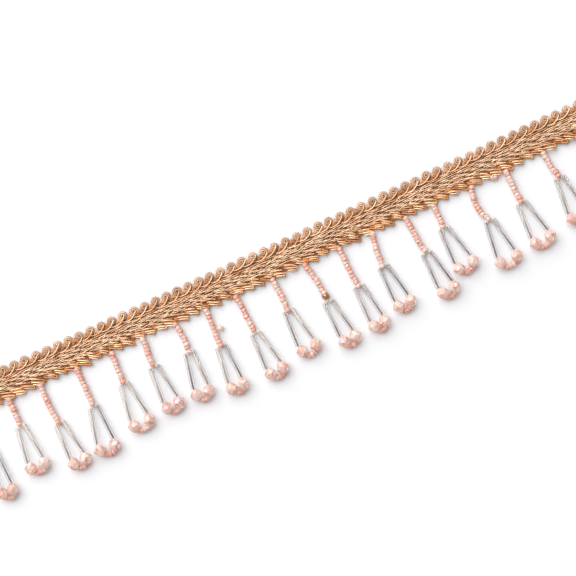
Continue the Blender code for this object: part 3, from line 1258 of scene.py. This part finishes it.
def thread_routes():
    routes = []
    for drop in DROPS:
        start = strand_place(drop, 0.0) + THREAD_START
        routes.append(smooth_route([start] + [strand_place(drop, step / 8) for step in range(9)], 3))
        fork = strand_place(drop, 0.96)
        left_top, left_foot, left_crystal = arm_places(drop, -1)
        right_top, right_foot, right_crystal = arm_places(drop, 1)
        link = [link_place(left_crystal, right_crystal, step / 8) for step in range(1, 8)]
        points = [fork, left_top, left_top.lerp(left_foot, 0.5), left_foot, left_crystal, *link]
        points += [right_crystal, right_foot, right_top.lerp(right_foot, 0.5), right_top, fork]
        routes.append(smooth_route(points, 3))
    return routes


threads = threaded("beading_thread", thread_routes(), THREAD_RADIUS, 6)

# %% [markdown]
# Where the strand ends, the thread is wound a few times round the fork before it parts. Each knot is a small
# open coil, and thin threads fan out from it into the two bugle tops.


# %% Knots at the forks
KNOT_TURNS = 3.0
KNOT_RADIUS = 0.26
KNOT_DROP = 0.5
KNOT_CORD = 0.11
FAN_THREADS = (-1.0, 1.0)


def knot_route(drop):
    fork = strand_place(drop, 1.0)
    route = []
    for step in range(41):
        t = step / 40
        around = 2.0 * math.pi * KNOT_TURNS * t
        ring = KNOT_RADIUS * (0.7 + 0.6 * t)
        offset = (ring * 1.2 * math.cos(around), 0.1 - KNOT_DROP * t, ring * 0.8 * math.sin(around))
        route.append(fork + Vector(offset))
    return route


def fan_routes(drop):
    """Threads that spread from the strand's end into the two bugle tops."""
    fork = strand_place(drop, 0.97)
    routes = []
    for side in (-1, 1):
        top, foot, crystal_centre = arm_places(drop, side)
        inside = top.lerp(foot, 0.1)
        for spread in FAN_THREADS:
            start = fork + Vector((0.22 * spread, 0.0, 0.25))
            bend = fork.lerp(top, 0.6) + Vector((0.12 * spread, -0.35 - 0.3 * spread * side, 0.2))
            end = inside + Vector((0.04 * spread, 0.0, 0.0))
            routes.append(smooth_route([start, bend, top + Vector((0.06 * spread, -0.1, 0.05)), end], 4))
    return routes


fans = [route for drop in DROPS for route in fan_routes(drop)]
knots = threaded("fork_knots", [knot_route(drop) for drop in DROPS] + fans, KNOT_CORD, 5)

# %% [markdown]
# A few beads don't match: one brown bead closes a strand, one clear bead lies loose on its thread beside a
# strand, and a few pink ones peep from under the braid.

# %% Odd beads
BROWN_GROWTH = 1.35
CLEAR_DROP = 7
CLEAR_ASIDE = Vector((1.8, -6.7, -0.1))
CLEAR_HOLE = Vector((0.35, 0.35, 0.0))
PEEPING_AT, PEEPING_ACROSS, PEEPING_HEIGHT = 71.3, -5.3, 0.8


def bronze_finish():
    material, board, shader = new_finish("bronze_glass", Metallic=0.5, Coat_Weight=0.8)
    noise = board.noise(1800.0)
    board.feed(shader.inputs["Base Color"], board.mix(noise, rgb(0.13, 0.055, 0.02), rgb(0.56, 0.29, 0.11)))
    board.feed(shader.inputs["Roughness"], 0.4 - noise * 0.3)
    return material


def brown_bead():
    """One bead that is larger than the others, grown from its middle."""
    spot = strand_place(DROPS[BROWN_DROP], BROWN_AT + 0.02) + Vector((0.1, 0.1, 0.1))
    hole = [spot, spot + Vector((0.0, -0.5, 0.0))]
    bead = strung("brown_bead", [hole], seed_shape, 1.0, bronze_finish(), tilt=3.0, swell=0.0, seed=61)
    for vertex in bead.data.vertices:
        vertex.co = spot * MM + (vertex.co - spot * MM) * BROWN_GROWTH
    return bead


def clear_bead():
    spot = strand_place(DROPS[CLEAR_DROP], 0.0) + CLEAR_ASIDE
    return strung("clear_bead", [[spot, spot + CLEAR_HOLE]], seed_shape, 1.0, seed_glass, shade=1.2, seed=62)


brown = brown_bead()
odd_beads = join("odd_beads", [clear_bead(), brown])
peeping_y = middle_line(72.0) + PEEPING_ACROSS
peeping = [Vector((PEEPING_AT + step, peeping_y - 0.25 * step, PEEPING_HEIGHT)) for step in range(2)]
peeping_routes = [whole_beads(peeping, SEED_SPACING)]
peeping_beads = strung(
    "peeping_beads", peeping_routes, seed_shape, SEED_SPACING, seed_glass, tilt=30.0, seed=63,
)
for shape in (seed_shape, bugle_shape, lining_shape, crystal_shape):
    bpy.data.objects.remove(shape)

# %% [markdown]
# ## Table and light
# A white table, one large soft lamp from the upper left and an even white surround give light, soft shadows
# below and to the right of every bead.

# %% Floor, lamp and surround
FLOOR_SIZE = 3.0
TABLE_GREY = rgb(0.735, 0.735, 0.75)
LAMP_PLACE = Vector((-0.55, 1.45, 1.4))
LAMP_SIZE = 3.0
LAMP_ENERGY = 90.0
SURROUND = 0.5

bm = bmesh.new()
bmesh.ops.create_grid(bm, x_segments=2, y_segments=2, size=FLOOR_SIZE / 2)
floor_mesh = bpy.data.meshes.new("floor")
bm.to_mesh(floor_mesh)
bm.free()
floor = show("floor", floor_mesh)
floor_material, floor_board, floor_shader = new_finish("white_table", Roughness=0.9)
floor_shader.inputs["Base Color"].default_value = TABLE_GREY
floor_mesh.materials.append(floor_material)

lamp_data = bpy.data.lights.new("soft_lamp", "AREA")
lamp_data.shape = "DISK"
lamp_data.size = LAMP_SIZE
lamp_data.energy = LAMP_ENERGY
lamp = show("soft_lamp", lamp_data)
lamp.location = LAMP_PLACE
lamp.rotation_euler = LAMP_PLACE.to_track_quat("Z", "Y").to_euler()

world = bpy.data.worlds.new("studio")
world.use_nodes = True
background = world.node_tree.nodes["Background"]
background.inputs["Color"].default_value = rgb(1.0, 1.0, 1.0)
background.inputs["Strength"].default_value = SURROUND
bpy.context.scene.world = world
bpy.context.scene.view_settings.view_transform = "Standard"
print("floor", FLOOR_SIZE, "m wide, lamp", round(LAMP_PLACE.length, 2), "m away")

# %% [markdown]
# ## Cutting the ends square
# The trim is a cut length. Cords reach past both ends of the tape, so a plane slices each of them off there,
# and every sliced cord gets a flat face over its hole.


# %% Square ends
def cut_ends(piece):
    """Cut a piece off square at both ends of the braid and close every cut cord."""
    bm = bmesh.new()
    bm.from_mesh(piece.data)
    for side in (-1.0, 1.0):
        geometry = [*bm.verts, *bm.edges, *bm.faces]
        plane = {"plane_co": (side * BRAID_LENGTH / 2 * MM, 0.0, 0.0), "plane_no": (side, 0.0, 0.0)}
        cut = bmesh.ops.bisect_plane(bm, geom=geometry, clear_outer=True, dist=1e-9, **plane)
        edges = [item for item in cut["geom_cut"] if isinstance(item, bmesh.types.BMEdge)]
        if edges:
            bmesh.ops.holes_fill(bm, edges=edges)
    bm.to_mesh(piece.data)
    bm.free()


braid_cords = [coils, climbs, shoulders, rows, loose]
braid_cords += [leaf_shade_beds, leaf_feathers, leaf_rims, leaf_strokes, coil_hairs, leaf_hairs]
for cord in braid_cords:
    cut_ends(cord)
print("cut cords:", len(braid_cords), "pieces,", sum(triangles(cord) for cord in braid_cords), "triangles")

# %% [markdown]
# ## Handing the pieces to the frame
# Everything rides on the one body. The tape and its cords stand for the braid's solid, and the beads for the
# solids of the drops.

# %% Ride and replace
SLOTS = [
    (tape, "metallic_gimp"),
    *[(piece, "metallic_gimp") for piece in braid_cords],
    (strand_seeds, "seed_beads"),
    (link_seeds, "seed_beads"),
    (bugles, "clear_bugles"),
    (linings, "clear_bugles"),
    (crystals, "crystals"),
    (threads, "thread"),
    (knots, "thread"),
    (odd_beads, "seed_beads"),
    (peeping_beads, "seed_beads"),
]
for piece, slot_name in SLOTS:
    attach(piece, "root")
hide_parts("braid")
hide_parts(*DROP_NODES)
print("triangles in all:", sum(triangles(piece) for piece, slot_name in SLOTS))
